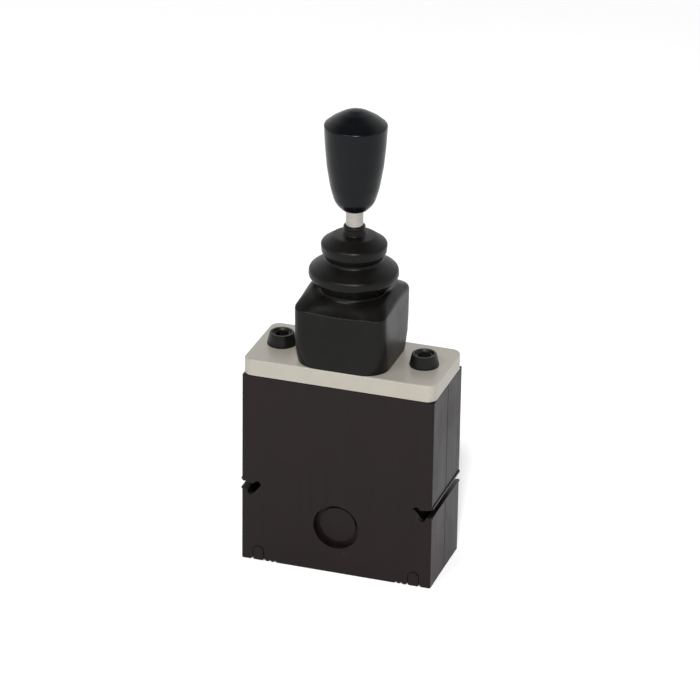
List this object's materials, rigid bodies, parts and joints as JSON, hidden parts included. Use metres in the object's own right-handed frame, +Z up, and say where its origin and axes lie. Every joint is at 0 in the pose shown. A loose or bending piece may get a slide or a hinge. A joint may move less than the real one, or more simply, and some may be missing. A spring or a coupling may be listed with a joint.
{
  "type": "hydraulic pilot joystick valve",
  "caption": "Hydraulic pilot control valve with one sprung lever axis, a rubber bellows boot, a light flange plate and a dark rectangular casing.",
  "frame": {"origin": "on the floor, at the middle of the casing's open underside", "axes": "+Z up along the upright lever, X along the casing's wide side and the lever's travel, -Y the front face with the round outlet"},
  "size_m": [0.0908, 0.042, 0.2179],
  "materials": {
    "casing": "dark brown-black moulded plastic, fine satin",
    "plate": "warm light grey, satin",
    "boot": "black moulded rubber, satin sheen",
    "knob": "black moulded plastic, semi-gloss",
    "block": "machined casting, phosphated",
    "black_steel": "blackened steel",
    "bright_steel": "ground bright",
    "zinc_steel": "zinc plated",
    "spring_steel": "drawn wire",
    "bronze": "turned"
  },
  "bodies": {
    "valve_body": {"front_casing": "casing", "rear_casing": "casing", "outlet_blank": "casing", "valve_block": "block", "mounting_plate": "plate", "pressure_gallery_plug": "black_steel", "tank_gallery_plug": "black_steel", "pivot_bracket": "zinc_steel", "pivot_bush_front": "bronze", "pivot_bush_rear": "bronze", "boot": "boot", "casing_screw_1": "black_steel", "bracket_screw_1": "zinc_steel", "casing_screw_2": "black_steel", "bracket_screw_2": "zinc_steel", "casing_screw_3": "black_steel", "bracket_screw_3": "zinc_steel", "casing_screw_4": "black_steel", "bracket_screw_4": "zinc_steel", "flange_screw_left": "black_steel", "guide_bush_left": "bronze", "guide_seal_left": "boot", "plunger_seal_left": "boot", "return_spring_left": "spring_steel", "metering_spring_left": "spring_steel", "flange_screw_right": "black_steel", "guide_bush_right": "bronze", "guide_seal_right": "boot", "plunger_seal_right": "boot", "return_spring_right": "spring_steel", "metering_spring_right": "spring_steel"},
    "lever": {"rocker": "zinc_steel", "tappet_left": "black_steel", "tappet_right": "black_steel", "tappet_nut_left": "zinc_steel", "tappet_nut_right": "zinc_steel", "pivot_pin": "bright_steel", "pin_clip_front": "black_steel", "pin_clip_rear": "black_steel", "lever_rod": "bright_steel", "lock_nut": "zinc_steel", "knob": "knob", "knob_insert": "bronze"},
    "plunger_set_left": {"plunger_left": "bright_steel", "spring_seat_left": "bright_steel"},
    "spool_body_left": {"spool_left": "bright_steel"},
    "plunger_set_right": {"plunger_right": "bright_steel", "spring_seat_right": "bright_steel"},
    "spool_body_right": {"spool_right": "bright_steel"}
  },
  "joints": [
    {"name": "lever_tilt", "type": "hinge", "parent": "valve_body", "child": "lever", "pos_m": [0, 0, 0.113], "axis": [0, 1, 0], "range_deg": [-20, 20], "stiffness_Nm_per_rad": 2.2, "deforming": ["boot"]},
    {"name": "plunger_slide_left", "type": "slide", "parent": "valve_body", "child": "plunger_set_left", "axis": [0, 0, 1], "range_m": [-0.00374, 0.00374], "deforming": ["return_spring_left", "metering_spring_left"]},
    {"name": "spool_slide_left", "type": "slide", "parent": "valve_body", "child": "spool_body_left", "axis": [0, 0, 1], "range_m": [-0.00131, 0.00131]},
    {"name": "plunger_slide_right", "type": "slide", "parent": "valve_body", "child": "plunger_set_right", "axis": [0, 0, 1], "range_m": [-0.00374, 0.00374], "deforming": ["return_spring_right", "metering_spring_right"]},
    {"name": "spool_slide_right", "type": "slide", "parent": "valve_body", "child": "spool_body_right", "axis": [0, 0, 1], "range_m": [-0.00131, 0.00131]}
  ],
  "couplings": [
    {"joint": "plunger_slide_left", "follows": "lever_tilt", "m_per_rad": 0.0107},
    {"joint": "spool_slide_left", "follows": "lever_tilt", "m_per_rad": 0.003745},
    {"joint": "plunger_slide_right", "follows": "lever_tilt", "m_per_rad": -0.0107},
    {"joint": "spool_slide_right", "follows": "lever_tilt", "m_per_rad": -0.003745}
  ]
}
